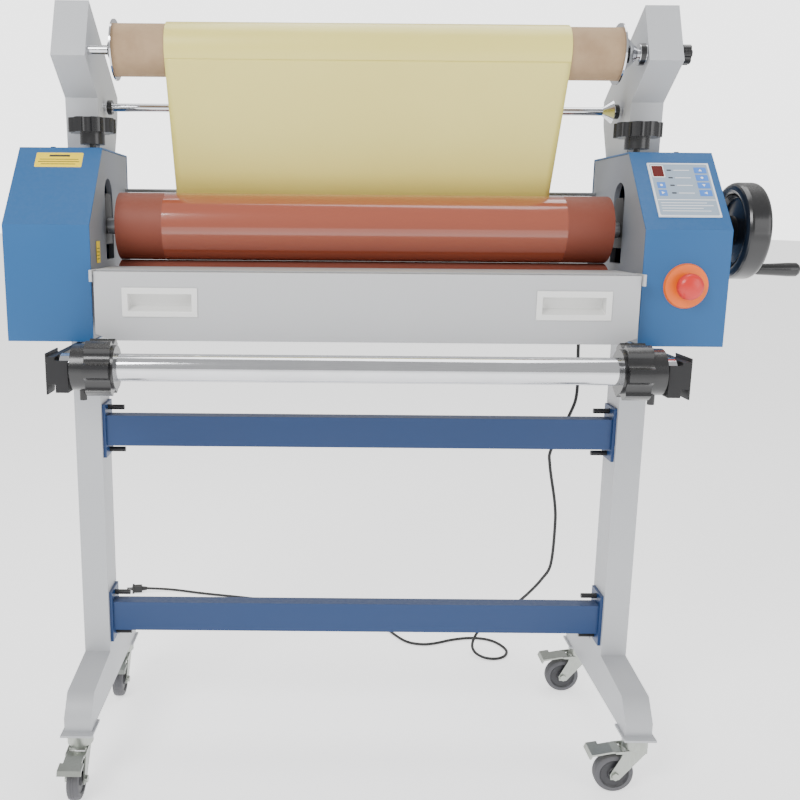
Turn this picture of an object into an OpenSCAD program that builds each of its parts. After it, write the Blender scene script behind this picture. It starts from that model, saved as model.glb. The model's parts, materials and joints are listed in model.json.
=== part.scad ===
// Cold roll laminator on a castered stand.
// X runs along the rollers, Y goes to the back and Z is up; the floor is Z = 0.
// Shapes are drawn about the middle of the rollers and place() moves them to the origin,
// which is the middle of the whole machine at floor level.

/* [Body] */
// Clear width between the two side plates
plate_gap = 930; // [700:2:1400]
// Thickness of a side plate
plate_t = 10; // [6:1:14]
// Width of a cover, outwards from the inner face of its side plate
cover_w = 146; // [130:1:170]
// Sheet thickness of the covers
sheet_t = 2.5; // [1.5:0.5:3.5]
// Height of the top of the body
body_top = 1183; // [1170:1:1195]
// Height of the crease below the sloped front
crease_z = 1050; // [1035:1:1060]
// Height of the underside of the body
body_low = 854; // [850:1:858]

/* [Rollers] */
// Radius of both rubber rollers
roller_r = 60; // [58:0.5:60]
// Radius of the roller journals
journal_r = 15; // [12:0.5:16]
// Height of the lower roller's axis
lower_z = 927; // [924:1:930]
// Lift of the upper roller
lift = 12; // [6:1:14]

/* [Supply roll] */
// Outside radius of the cardboard core
core_r = 44; // [42:0.5:46]
// Outside radius of the wound film
film_r = 47; // [46.5:0.5:60]
// Width of the film
film_w = 696; // [400:2:800]

/* [Rewind] */
// Radius of the chrome take-up tube
tube_r = 22.5; // [20:0.5:24]

/* [Stand] */
// Width of a leg
leg_w = 51; // [45:1:55]
// Depth of a leg, front to back
leg_d = 75; // [60:1:80]
// Height of the cross bars' section
bar_h = 60; // [50:1:70]
// Radius of a caster wheel
wheel_r = 37.5; // [35:0.5:37.5]

/* [Hidden] */
$fn = 64;

// Clearances: a shaft in its hole, and two pieces that pass each other
fit = 0.06;
gap = 0.3;

// Main planes and axes, from the middle of the rollers
plate_x = plate_gap / 2;
cover_out = plate_x - 1 + cover_w;
front_y = -211;
slope_top_y = -94;
rear_y = 116;
roller_y = -55;
upper_z = lower_z + 2 * roller_r + gap;
rubber_x = plate_x - 22;
screw_x = plate_x + 25;
supply_y = -72;
supply_z = 1350;
spindle_r = 8;
liner_r = 7.5;
core_x = plate_x - 27;
liner_y = 40;
liner_z = 1266;
arm_x = plate_x + 23;
arm_w = 60;
takeup_y = -296;
takeup_z = 824;
leg_x = plate_x + 33;
leg_mid = leg_x + leg_w / 2;
upper_bar_z = 655;
lower_bar_z = 269;
swivel_y = 190;
caster_h = 115;
crank_end = 790.5;
chuck_r = 47;
head_h = 3.5;
pad_half = 30;
block_top = 1105;
bridge_z = 1150;
knob_z = 1191;
gland_at = [plate_x + 20, 880];

// The origin is the middle of the box round the machine, without its mains lead
to_origin = [(cover_out + head_h - crank_end) / 2, (chuck_r - takeup_y - swivel_y - pad_half) / 2, 0];

// The sloped front: its run, its rise, its length and its angle
run = slope_top_y - front_y;
rise = body_top - crease_z;
slope_len = norm([run, rise]);
slope_deg = atan2(rise, run);

// Side outline of the body, moved inwards by t
function body_outline(t) = [
    [front_y + t, body_low + t],
    [front_y + t, crease_z + t * (rise - slope_len) / run],
    [slope_top_y + t * (slope_len - run) / rise, body_top - t],
    [rear_y - t, body_top - t],
    [rear_y - t, body_low + t]];

module place() { translate(to_origin) children(); }

// side = 1 is the right-hand end and side = -1 the left-hand end
module at_side(side) { mirror([side < 0 ? 1 : 0, 0, 0]) children(); }

// Draws a side outline (Y, Z) from x0 to x1
module along_x(x0, x1) { translate([x0, 0, 0]) rotate([90, 0, 90]) linear_extrude(x1 - x0) children(); }

module rod_x(x0, x1, r, y, z) { translate([x0, y, z]) rotate([0, 90, 0]) cylinder(r = r, h = x1 - x0); }

module cone_x(x0, x1, r0, r1, y, z) {
    translate([x0, y, z]) rotate([0, 90, 0]) cylinder(r1 = r0, r2 = r1, h = x1 - x0);
}

module box(a, b) { translate(a) cube(b - a); }

// Places a piece on the sloped front: x across, u down the slope from its top edge
module on_slope(x, u) {
    translate([x, slope_top_y - u * run / slope_len, body_top - u * rise / slope_len])
        rotate([slope_deg, 0, 0]) children();
}

/* ---- stand ---- */

foot_front = -205;
foot_rear = 213;
foot_low = caster_h + 4;
foot_wall = 3;

module foot_outline() {
    polygon([[foot_front, foot_low], [foot_front, 145], [-175, 184], [-leg_d / 2, 198],
        [leg_d / 2, 198], [183, 184], [foot_rear, 145], [foot_rear, foot_low]]);
}

module foot_hollow() {
    polygon([[-195, foot_low + foot_wall], [-195, 147], [-171, 180], [-40, 192],
        [40, 192], [179, 180], [203, 147], [203, foot_low + foot_wall]]);
}

module stand_end(side) {
    plate_low = body_low - 10;
    place() at_side(side) color([0.7, 0.7, 0.7]) difference() {
        union() {
            box([leg_x, -leg_d / 2, 190], [leg_x + leg_w, leg_d / 2, plate_low]);
            along_x(leg_x, leg_x + leg_w) foot_outline();
            box([plate_x - 5, -60, plate_low], [leg_x + leg_w, 60, body_low]);
            for (y = [-swivel_y, swivel_y])
                box([leg_mid - pad_half, y - pad_half, caster_h], [leg_mid + pad_half, y + pad_half, foot_low]);
        }
        box([leg_x + foot_wall, foot_wall - leg_d / 2, 185],
            [leg_x + leg_w - foot_wall, leg_d / 2 - foot_wall, plate_low]);
        along_x(leg_x + foot_wall, leg_x + leg_w - foot_wall) foot_hollow();
        translate([leg_mid, 60, foot_low - 1]) cylinder(r = 5, h = 8);
        for (z = bolt_heights()) rod_x(leg_x - 1, leg_x + leg_w + 1, 5 + gap, 0, z);
        for (y = [-swivel_y, swivel_y]) translate([leg_mid, y, caster_h - 1]) cylinder(r = 8 + fit, h = 30);
    }
}

bolt_step = 42.5;
function bolt_heights() = [for (z = [upper_bar_z, lower_bar_z], s = [-1, 1]) z + s * bolt_step];

module cross_bar(mid_z) {
    flange_t = 6;
    place() color([0.04, 0.2, 0.45]) difference() {
        union() {
            box([flange_t - leg_x, -24, mid_z - bar_h / 2], [leg_x - flange_t, 6, mid_z + bar_h / 2]);
            for (side = [-1, 1]) at_side(side)
                box([leg_x - flange_t, -30, mid_z - 53], [leg_x, 30, mid_z + 53]);
        }
        box([-leg_x - 1, -21, mid_z - bar_h / 2 + 3], [leg_x + 1, 3, mid_z + bar_h / 2 - 3]);
        for (side = [-1, 1], s = [-1, 1]) at_side(side)
            rod_x(leg_x - flange_t - 1, leg_x + 1, 5 + gap, 0, mid_z + s * bolt_step);
    }
}

module hex_nut(x0, x1, r, y, z) {
    translate([x0, y, z]) rotate([0, 90, 0]) cylinder(r = r, h = x1 - x0, $fn = 6);
}

module fasteners() {
    place() color([0.2, 0.2, 0.22]) {
        for (side = [-1, 1]) at_side(side) {
            for (z = bolt_heights()) {
                rod_x(plate_x - 4, leg_x + leg_w, 5, 0, z);
                hex_nut(leg_x + leg_w, leg_x + leg_w + 7, 9, 0, z);
            }
            for (y = [-60, 60]) translate([cover_out - 50, y, body_top]) screw_head();
            for (z = [1010, 900], y = [-180, 80]) translate([cover_out, y, z]) rotate([0, 90, 0]) screw_head();
            for (y = [8, 98]) translate([arm_x + arm_w - 14, y, body_top + 3]) screw_head();
        }
    }
}

module screw_head() { cylinder(r1 = 6, r2 = 4, h = head_h); }

/* ---- casters ---- */

trail = 38;
caster_race_r = 24;

// Turns a caster about its swivel; the wheel trails along the local -Y axis
module at_caster(side, end, turn) {
    translate([side * leg_mid, end * swivel_y, 0]) rotate([0, 0, turn]) children();
}

module caster_cheek(x0, x1) {
    along_x(x0, x1) polygon([[-20, 92], [-trail - 10, wheel_r + 2], [-trail - 8, wheel_r - 8],
        [-trail + 8, wheel_r - 8], [18, 86], [18, 92]]);
}

module caster_fork(side, end, turn) {
    place() at_caster(side, end, turn) color([0.6, 0.62, 0.6]) {
        difference() {
            union() {
                translate([0, 0, 92]) cylinder(r = caster_race_r, h = caster_h - 92 - gap);
                box([-16.5, -21, 84], [16.5, 19, 92]);
                for (s = [-1, 1]) at_side(s) caster_cheek(13.5, 16.5);
                translate([0, 0, 92]) cylinder(r = 8, h = caster_h - 92 + 20);
            }
            rod_x(-20, 20, 3 + fit, -10, 88);
        }
        rod_x(-21, 21, 4, -trail, wheel_r);
        for (s = [-1, 1]) at_side(s) hex_nut(16.5, 21, 7.5, -trail, wheel_r);
    }
}

module caster_wheel(side, end, turn) {
    w = 24;
    place() at_caster(side, end, turn) translate([-w / 2, -trail, wheel_r]) rotate([0, 90, 0])
        color([0.35, 0.35, 0.36]) rotate_extrude() polygon([[4 + fit, 0], [12, 0], [12, 3], [27, 4],
            [28, 1], [wheel_r - 4, 1], [wheel_r - 1, 3], [wheel_r, 7], [wheel_r, w - 7],
            [wheel_r - 1, w - 3], [wheel_r - 4, w - 1], [28, w - 1], [27, w - 4], [12, w - 3],
            [12, w], [4 + fit, w]]);
}

// A bent plate over the wheel, pressed down at its tip
module brake_pedal(side, end, turn) {
    place() at_caster(side, end, turn) color([0.55, 0.56, 0.55]) {
        along_x(-17, 17) polygon([[-29, 84], [-45, 84.5], [-84, 77], [-85, 80], [-45, 88], [-29, 88]]);
        along_x(-22, 22) polygon([[-66, 83.5], [-84, 80], [-87, 74], [-90, 75], [-86, 83.5], [-66, 87]]);
        for (s = [-1, 1]) at_side(s) along_x(17, 19)
            polygon([[-6, 90], [-6, 84], [-40, 84], [-40, 88], [-14, 91]]);
        rod_x(-19, 19, 3, -10, 88);
    }
}

/* ---- body ---- */

slot_r = 30;
slot_low = 988;

module side_plate(side) {
    place() at_side(side) color([0.62, 0.64, 0.68]) difference() {
        union() {
            along_x(plate_x, plate_x + plate_t) polygon(body_outline(sheet_t + 0.5));
            box([plate_x + plate_t, roller_y - 24, bridge_z], [screw_x + 18, roller_y + 24, bridge_z + 12]);
        }
        rod_x(plate_x - 1, plate_x + plate_t + 1, journal_r + fit, roller_y, lower_z);
        box([plate_x - 1, roller_y - slot_r, slot_low], [plate_x + plate_t + 1, roller_y + slot_r, 1102]);
        rod_x(plate_x - 1, plate_x + plate_t + 1, slot_r, roller_y, 1102);
        translate([screw_x, roller_y, bridge_z - 1]) cylinder(r = 6 + fit, h = 14);
    }
}

module cover(side) {
    inner_x = plate_x - 1;
    place() at_side(side) color([0.1, 0.35, 0.6]) difference() {
        along_x(inner_x, cover_out) polygon(body_outline(0));
        along_x(inner_x - 1, cover_out - sheet_t) polygon(body_outline(sheet_t));
        translate([screw_x, roller_y, body_top - 5]) cylinder(r = 9, h = 10);
        if (side > 0) {
            for (dz = [0, lift]) rod_x(cover_out - 5, cover_out + 1, journal_r + 3, roller_y, upper_z + dz);
            box([cover_out - 5, roller_y - journal_r - 3, upper_z],
                [cover_out + 1, roller_y + journal_r + 3, upper_z + lift]);
            translate([estop_x, front_y - 1, estop_z]) rotate([-90, 0, 0]) cylinder(r = 13, h = 8);
            translate([gland_at[0], rear_y - 5, gland_at[1]]) rotate([-90, 0, 0]) cylinder(r = 8, h = 10);
        }
    }
}

module tie_bars() {
    place() color([0.5, 0.52, 0.55]) {
        rod_x(-plate_x, plate_x, 3.5, 95, 1115);
        box([-plate_x, 60, 872], [plate_x, 90, 912]);
        box([-plate_x, -150, 872], [plate_x, -120, 902]);
    }
}

leaf_x = plate_x - 11;
leaf_face_y = -237;
hinge_y = -231;
hinge_z = 970;

module feed_table() {
    place() color([0.75, 0.76, 0.78]) {
        box([-leaf_x, -219.5, 975], [leaf_x, -102, 977]);
        box([-leaf_x, -104, 967], [leaf_x, -102, 975]);
        for (side = [-1, 1]) at_side(side) {
            difference() {
                box([leaf_x + 1.5, -243, 958], [leaf_x + 6, -200, 977]);
                rod_x(leaf_x - 1, leaf_x + 8, 2.5 + fit, hinge_y, hinge_z);
            }
            box([leaf_x, -206, 963], [plate_x, -186, 975]);
        }
    }
}

// Front view outline of the leaf, moved inwards by t
function leaf_outline(t) = [
    [-leaf_x + t, 974.5 - t], [leaf_x - t, 974.5 - t], [leaf_x - t, 871 + t / 2],
    [424 - t / 2, 860 + t], [-424 + t / 2, 860 + t], [-leaf_x + t, 871 + t / 2]];

module leaf_slab(y0, y1, t) {
    translate([0, y1, 0]) rotate([90, 0, 0]) linear_extrude(y1 - y0) polygon(leaf_outline(t));
}

pull_x = 345;
pull_low = 900;
pull_top = 949;

module feed_panel() {
    place() color([0.78, 0.78, 0.8]) {
        difference() {
            leaf_slab(leaf_face_y, -222, 0);
            leaf_slab(leaf_face_y + 2, -221, 2);
            for (side = [-1, 1]) at_side(side)
                box([pull_x - 57, leaf_face_y - 1, pull_low + 5], [pull_x + 57, leaf_face_y + 3, pull_top - 5]);
        }
        for (side = [-1, 1]) at_side(side) {
            rod_x(leaf_x - 12, leaf_x + 6, 2.5, hinge_y, hinge_z);
            box([leaf_x - 12, -236, 965], [leaf_x - 2, -226, 973]);
        }
    }
}

module panel_pulls() {
    place() color([0.93, 0.93, 0.92]) for (side = [-1, 1]) at_side(side) difference() {
        union() {
            box([pull_x - 63, leaf_face_y - 2.5, pull_low], [pull_x + 63, leaf_face_y, pull_top]);
            box([pull_x - 56.7, leaf_face_y, pull_low + 5.3], [pull_x + 56.7, -213, pull_top - 5.3]);
        }
        along_x(pull_x - 53, pull_x + 53) polygon([[leaf_face_y - 3, 909], [leaf_face_y - 3, 938],
            [-215, 941], [-215, 918]]);
    }
}

estop_x = 538;
estop_z = 957;

module estop_plate() {
    place() translate([estop_x, front_y, estop_z]) rotate([90, 0, 0]) color([0.95, 0.5, 0.1]) difference() {
        union() {
            cylinder(r1 = 38, r2 = 36, h = 5);
            translate([0, 0, -6]) cylinder(r = 12.5, h = 6);
        }
        translate([0, 0, -7]) cylinder(r = 9 + fit, h = 13);
    }
}

module estop_button() {
    place() translate([estop_x, front_y, estop_z]) rotate([90, 0, 0]) color([0.8, 0.15, 0.15]) {
        translate([0, 0, -14]) cylinder(r = 9, h = 28);
        rotate_extrude() polygon(concat([[0, 12], [14, 12], [22, 16], [22, 21]],
            [for (a = [0 : 15 : 90]) [22 * cos(a), 21 + 10 * sin(a)]]));
    }
}

panel_x0 = 490;
panel_x1 = 596;
panel_u0 = 28;
panel_u1 = 150;
panel_t = 2.5;
key_gap = 0.4;
key_rest = 0.7;

// Keys: middle across, middle down the slope, width and height
keys = [["key_faster", 579, 45, 21, 13], ["key_stop", 579, 62.5, 21, 13], ["key_slower", 579, 80, 21, 13],
    ["key_reverse", 579, 97.5, 21, 13], ["key_mode", 506, 80, 14, 13], ["key_run", 506, 97.5, 14, 13]];

module key_block(k, grow, z0, z1) {
    on_slope(k[1], k[2]) translate([-k[3] / 2 - grow, -k[4] / 2 - grow, z0])
        cube([k[3] + 2 * grow, k[4] + 2 * grow, z1 - z0]);
}

module control_panel() {
    place() color([0.6, 0.65, 0.72]) difference() {
        on_slope((panel_x0 + panel_x1) / 2, (panel_u0 + panel_u1) / 2)
            translate([-(panel_x1 - panel_x0) / 2, -(panel_u1 - panel_u0) / 2, 0])
            cube([panel_x1 - panel_x0, panel_u1 - panel_u0, panel_t]);
        for (k = keys) key_block(k, key_gap, panel_t - 1.5, panel_t + 1);
    }
}

module key(i) { place() color([0.35, 0.6, 0.9]) key_block(keys[i], 0, panel_t - 0.8, panel_t + key_rest); }

/* ---- unwind ---- */

module arm_outline() {
    polygon([[-52, 1436], [-97, 1337], [-12, 1277], [-8, body_top], [118, body_top], [150, 1250], [158, 1298]]);
}

// The inside of an arm, open at its back
module arm_hollow() {
    polygon([[-48, 1426], [-92.5, 1338], [-8, 1279], [-5, body_top + 3], [119, body_top + 3],
        [153, 1250], [164, 1302], [40, 1392]]);
}

module roll_arm(side) {
    sheet = 3;
    place() at_side(side) color([0.68, 0.68, 0.68]) difference() {
        along_x(arm_x, arm_x + arm_w) arm_outline();
        along_x(arm_x + sheet, arm_x + arm_w - sheet) arm_hollow();
        rod_x(arm_x - 1, arm_x + arm_w + 1, spindle_r + fit, supply_y, supply_z);
        rod_x(arm_x - 1, arm_x + arm_w + 1, liner_r + fit, liner_y, liner_z);
    }
}

module supply_spindle() {
    place() color([0.85, 0.86, 0.88]) {
        rod_x(2 - arm_x - arm_w, arm_x + arm_w + 16, spindle_r, supply_y, supply_z);
        for (side = [-1, 1]) at_side(side) {
            rod_x(core_x, core_x + 3, 51, supply_y, supply_z);
            cone_x(core_x - 40, core_x, 30, core_r - 6 - gap, supply_y, supply_z);
            rod_x(core_x + 3, core_x + 13, 14, supply_y, supply_z);
        }
        cone_x(core_x + 15, core_x + 32, 27, 12, supply_y, supply_z);
        rod_x(core_x + 36, arm_x - 2, 18, supply_y, supply_z);
    }
}

module supply_core() {
    place() color([0.59, 0.5, 0.41]) difference() {
        rod_x(-core_x, core_x, core_r, supply_y, supply_z);
        rod_x(-core_x - 1, core_x + 1, core_r - 6, supply_y, supply_z);
    }
}

module film_roll() {
    place() color([0.87, 0.85, 0.63]) difference() {
        rod_x(-film_w / 2, film_w / 2, film_r, supply_y, supply_z);
        rod_x(-film_w, film_w, core_r, supply_y, supply_z);
    }
}

// The film leaves the front of the roll and passes behind the upper roller, clear of it when it lifts
web_t = 1;
web_gap = 1;
roll_reach = film_r + web_gap;
roller_reach = roller_r + 3;
centre_gap = norm([roller_y - supply_y, supply_z - upper_z - lift]);
web_deg = atan2(roller_y - supply_y, supply_z - upper_z - lift) + asin((roll_reach + roller_reach) / centre_gap);
web_path = [
    [supply_y - roll_reach * cos(web_deg), supply_z - roll_reach * sin(web_deg)],
    [roller_y + roller_reach * cos(web_deg), upper_z + lift + roller_reach * sin(web_deg)],
    [roller_y + roller_reach, upper_z + lift],
    [roller_y + roller_reach, upper_z - 6],
    [roller_y + roller_reach - 4, upper_z - 36],
    [roller_y + roller_reach - 16, upper_z - 54],
    [roller_y + 27, lower_z + roller_r + gap / 2]];

module film_web() {
    edge = [for (p = web_path) p - [0, web_t / 2]];
    other = [for (i = [len(web_path) - 1 : -1 : 0]) web_path[i] + [i < 5 ? -web_t : 0, web_t / 2]];
    place() color([0.8, 0.77, 0.52]) along_x(-film_w / 2, film_w / 2) polygon(concat(edge, other));
}

module lobed_disc(r, h, lobes, notch_r) {
    difference() {
        cylinder(r = r, h = h);
        for (i = [0 : lobes - 1]) rotate([0, 0, 360 * i / lobes]) translate([r + notch_r * 0.45, 0, -1])
            cylinder(r = notch_r, h = h + 2);
    }
}

module brake_knob() {
    at = arm_x + arm_w + 2;
    place() translate([at, supply_y, supply_z]) rotate([0, 90, 0]) color([0.1, 0.1, 0.1]) difference() {
        lobed_disc(17, 14, 6, 5);
        translate([0, 0, -1]) cylinder(r = spindle_r + fit, h = 30);
    }
}

module liner_rod() {
    place() color([0.85, 0.86, 0.88]) {
        rod_x(2 - arm_x - arm_w, arm_x + arm_w + 8, liner_r, liner_y, liner_z);
        cone_x(plate_x - 14, plate_x + 4, liner_r, 21, liner_y, liner_z);
        rod_x(plate_x + 7, plate_x + 17, 13, liner_y, liner_z);
        rod_x(arm_x + arm_w + 2, arm_x + arm_w + 11, 10, liner_y, liner_z);
    }
}

/* ---- rollers ---- */

tube_wall = 7;
rubber_t = 15;

module roller_shaft(x0, x1, z) {
    core = roller_r - rubber_t;
    place() color([0.7, 0.71, 0.73]) difference() {
        union() {
            rod_x(-rubber_x, rubber_x, core, roller_y, z);
            rod_x(x0, x1, journal_r, roller_y, z);
        }
        for (a = [-1, 1]) at_side(a) {
            difference() {
                rod_x(rubber_x - 12, rubber_x + 1, core - tube_wall, roller_y, z);
                rod_x(rubber_x - 13, rubber_x + 2, journal_r, roller_y, z);
            }
            for (i = [0 : 3]) translate([0, roller_y, z]) rotate([90 * i, 0, 0]) rod_x(rubber_x - 30, rubber_x, 6, 0, 26);
        }
        difference() {
            rod_x(24 - rubber_x, rubber_x - 24, core - tube_wall, roller_y, z);
            rod_x(-rubber_x, rubber_x, journal_r, roller_y, z);
        }
    }
}

module roller_rubber(z) {
    place() color([0.6, 0.26, 0.18]) difference() {
        rod_x(-rubber_x, rubber_x, roller_r, roller_y, z);
        rod_x(-rubber_x - 1, rubber_x + 1, roller_r - rubber_t, roller_y, z);
    }
}

module bearing_blocks() {
    half = slot_r - 0.1;
    place() color([0.12, 0.12, 0.13]) for (side = [-1, 1]) at_side(side) difference() {
        along_x(plate_x + 1, screw_x + 12) polygon([[roller_y - half, upper_z - 32], [roller_y + half, upper_z - 32],
            [roller_y + half, 1085], [roller_y + 18, block_top], [roller_y - 18, block_top], [roller_y - half, 1085]]);
        rod_x(plate_x, screw_x + 13, journal_r + fit, roller_y, upper_z);
        translate([screw_x, roller_y, upper_z + journal_r + 4]) cylinder(r = 6 + fit, h = 60);
    }
}

module pressure_screw(side) {
    tip_z = upper_z + journal_r + lift + 5;
    place() translate([side * screw_x, roller_y, 0]) color([0.1, 0.1, 0.11]) {
        translate([0, 0, tip_z]) cylinder(r = 6, h = knob_z - tip_z);
        translate([0, 0, knob_z]) cylinder(r = 22, h = 21);
        translate([0, 0, knob_z + 20]) lobed_disc(42, 25, 8, 11);
    }
}

// A coil spring as a swept square wire, closed at both ends
module coil_spring(r, wire, h, turns, steps) {
    n = turns * steps;
    corners = [[-1, -1], [1, -1], [1, 1], [-1, 1]] * wire / 2;
    rings = [for (i = [0 : n]) [for (c = corners)
        [(r + c[0]) * cos(360 * i / steps), (r + c[0]) * sin(360 * i / steps), wire / 2 + c[1] + (h - wire) * i / n]]];
    polyhedron(points = [for (ring = rings) each ring],
        faces = concat([[0, 1, 2, 3]], [[4 * n + 3, 4 * n + 2, 4 * n + 1, 4 * n]],
            [for (i = [0 : n - 1], k = [0 : 3]) [4 * i + k, 4 * (i + 1) + k, 4 * (i + 1) + (k + 1) % 4]],
            [for (i = [0 : n - 1], k = [0 : 3]) [4 * i + k, 4 * (i + 1) + (k + 1) % 4, 4 * i + (k + 1) % 4]]));
}

module pressure_springs() {
    place() color([0.6, 0.6, 0.62]) for (side = [-1, 1])
        translate([side * screw_x, roller_y, block_top + gap])
            coil_spring(9.5, 3, bridge_z - block_top - 2 * gap, 5, 12);
}

wheel_x = 666;
wheel_w = 46;
handwheel_r = 87;
crank_angle = 20;
crank_at = [-72 * sin(crank_angle), -72 * cos(crank_angle)];

module handwheel() {
    rim = 11;
    place() color([0.08, 0.08, 0.09]) difference() {
        union() {
            translate([wheel_x, roller_y, upper_z]) rotate([0, 90, 0]) rotate_extrude() polygon(concat(
                [[20, -50], [26, -50], [28, 8], [60, 14], [handwheel_r - 2 * rim, 4]],
                [for (a = [180 : 20 : 360]) [handwheel_r - rim + rim * cos(a), rim + rim * sin(a)]],
                [for (a = [0 : 20 : 180]) [handwheel_r - rim + rim * cos(a), wheel_w - rim + rim * sin(a)]],
                [[60, 26], [28, 22], [26, wheel_w - 6], [20, wheel_w - 6]]));
            rod_x(cover_out + 6, wheel_x + wheel_w - 6, 21, roller_y, upper_z);
            rod_x(wheel_x + 12, crank_end - 16, 5, roller_y + crank_at[0], upper_z + crank_at[1]);
        }
        rod_x(cover_out, wheel_x + wheel_w - 16, journal_r, roller_y, upper_z);
    }
}

module crank_grip() {
    x0 = wheel_x + wheel_w + 2;
    place() translate([x0, roller_y + crank_at[0], upper_z + crank_at[1]]) rotate([0, 90, 0])
        color([0.08, 0.08, 0.09]) rotate_extrude() polygon([[5 + fit, 0], [9, 0], [10, 4], [11, 30],
            [12.5, 58], [12.5, crank_end - x0 - 4], [10, crank_end - x0], [0, crank_end - x0],
            [0, crank_end - x0 - 12], [5 + fit, crank_end - x0 - 12]]);
}

/* ---- take-up ---- */

module takeup_tube() {
    place() color([0.85, 0.86, 0.88]) difference() {
        rod_x(-plate_x - 30, plate_x + 30, tube_r, takeup_y, takeup_z);
        rod_x(-plate_x - 31, plate_x + 31, tube_r - 2.5, takeup_y, takeup_z);
    }
}

module core_chuck(side) {
    disc_x = plate_x - 54;
    hub_x = disc_x + 41;
    place() at_side(side) color([0.08, 0.08, 0.08]) difference() {
        union() {
            translate([disc_x, takeup_y, takeup_z]) rotate([0, 90, 0]) lobed_disc(chuck_r, 41, 6, 17);
            rod_x(disc_x - 5, hub_x, 36, takeup_y, takeup_z);
            rod_x(hub_x, hub_x + 23, 38, takeup_y, takeup_z);
            translate([hub_x + 11, takeup_y, takeup_z - 54]) cylinder(r = 6, h = 30);
        }
        rod_x(disc_x - 6, hub_x + 24, tube_r + fit, takeup_y, takeup_z);
    }
}

module takeup_cradles() {
    place() color([0.3, 0.31, 0.32]) for (side = [-1, 1]) at_side(side) {
        box([leg_x + 2, takeup_y - 28, 800], [leg_x + 14, -leg_d / 2, body_low - 10]);
        difference() {
            box([plate_x + 14, takeup_y - 28, 786], [leg_x + 2, takeup_y + 28, 838]);
            rod_x(plate_x, leg_x + 1, tube_r + fit, takeup_y, takeup_z);
            box([plate_x, takeup_y - tube_r - fit, takeup_z], [leg_x + 1, takeup_y + tube_r + fit, 840]);
        }
        along_x(leg_x + 14, leg_x + 17) polygon([[takeup_y - 28, 850], [takeup_y + 40, 850],
            [takeup_y + 10, 783], [takeup_y - 28, 783]]);
    }
}

/* ---- drive and mains lead ---- */

module drive_motor() {
    mid_x = plate_x + 60;
    place() color([0.3, 0.3, 0.32]) difference() {
        union() {
            box([plate_x + plate_t, roller_y - 42, lower_z - 42], [mid_x + 35, roller_y + 42, lower_z + 42]);
            translate([mid_x, roller_y + 42, lower_z]) rotate([-90, 0, 0]) cylinder(r = 30, h = 95);
        }
        rod_x(plate_x, mid_x, journal_r + fit, roller_y, lower_z);
    }
}

module cord_gland() {
    place() translate([gland_at[0], rear_y, gland_at[1]]) rotate([-90, 0, 0]) color([0.1, 0.1, 0.1]) {
        translate([0, 0, -4]) cylinder(r = 7.9, h = 4);
        cylinder(r = 12, h = 6, $fn = 6);
        translate([0, 0, 6]) cylinder(r1 = 8, r2 = 4.5, h = 22);
    }
}

// Route of the mains lead from the gland to its plug
cord_r = 3.5;
cord_sides = 8;
route = [
    [485, 144, 880], [485, 160, 880], [485, 178, 875], [485, 192, 862], [483, 200, 840],
    [480, 200, 800], [482, 195, 700], [470, 196, 650], [436, 203, 570], [436, 208, 530],
    [455, 220, 440], [462, 232, 380], [464, 256, 280], [450, 274, 236], [428, 298, 192],
    [403, 328, 148], [378, 360, 108], [352, 384, 75], [327, 391, 46], [311, 373, 23], [313, 350, 12],
    [332, 333, 6], [360, 329, 4], [385, 342, 4], [397, 370, 4], [390, 400, 4], [372, 426, 4],
    [345, 440, 4], [310, 442, 4], [270, 432, 4], [220, 410, 4], [185, 405, 4], [150, 420, 4], [120, 465, 4], [85, 535, 4],
    [10, 605, 4], [-250, 680, 4], [-400, 715, 4], [-500, 740, 5], [-572, 734, 11]];

function blend_at(a, b, c, d, t) =
    0.5 * ((2 * b) + (c - a) * t + (2 * a - 5 * b + 4 * c - d) * t * t + (3 * b - a - 3 * c + d) * t * t * t);
function route_at(i, t) = blend_at(route[max(i - 1, 0)], route[i], route[i + 1], route[min(i + 2, len(route) - 1)], t);
cord_line = concat([for (i = [0 : len(route) - 2], t = [0, 0.5]) route_at(i, t)], [route[len(route) - 1]]);
function unit(v) = v / norm(v);
function across(v, t) = unit(v - (v * t) * t);

module mains_cord() {
    last = len(cord_line) - 1;
    heading = [for (i = [0 : last]) unit(cord_line[min(i + 1, last)] - cord_line[max(i - 1, 0)])];
    sides = [for (i = 0, v = across([1, 0, 0], heading[0]); i <= last;
        i = i + 1, v = i <= last ? across(v, heading[i]) : v) v];
    ring = [for (i = [0 : last], k = [0 : cord_sides - 1]) cord_line[i]
        + cord_r * (cos(360 * k / cord_sides) * sides[i] + sin(360 * k / cord_sides) * cross(heading[i], sides[i]))];
    place() color([0.1, 0.1, 0.1]) polyhedron(points = ring, faces = concat(
        [[for (k = [0 : cord_sides - 1]) k]],
        [[for (k = [cord_sides - 1 : -1 : 0]) last * cord_sides + k]],
        [for (i = [0 : last - 1], k = [0 : cord_sides - 1]) [i * cord_sides + k, (i + 1) * cord_sides + k,
            (i + 1) * cord_sides + (k + 1) % cord_sides, i * cord_sides + (k + 1) % cord_sides]]));
}

module mains_plug() {
    end = route[len(route) - 1];
    place() translate(end) rotate([0, 0, 187]) color([0.1, 0.1, 0.1]) {
        rotate([0, 90, 0]) cylinder(r1 = 5, r2 = 7, h = 16);
        translate([14, -9, -9]) cube([22, 18, 18]);
        translate([36, -11, -10.8]) cube([5, 22, 21.6]);
        for (y = [-6, 6]) translate([40, y, 0]) rotate([0, 90, 0]) cylinder(r = 2.2, h = 17);
    }
}

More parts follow.
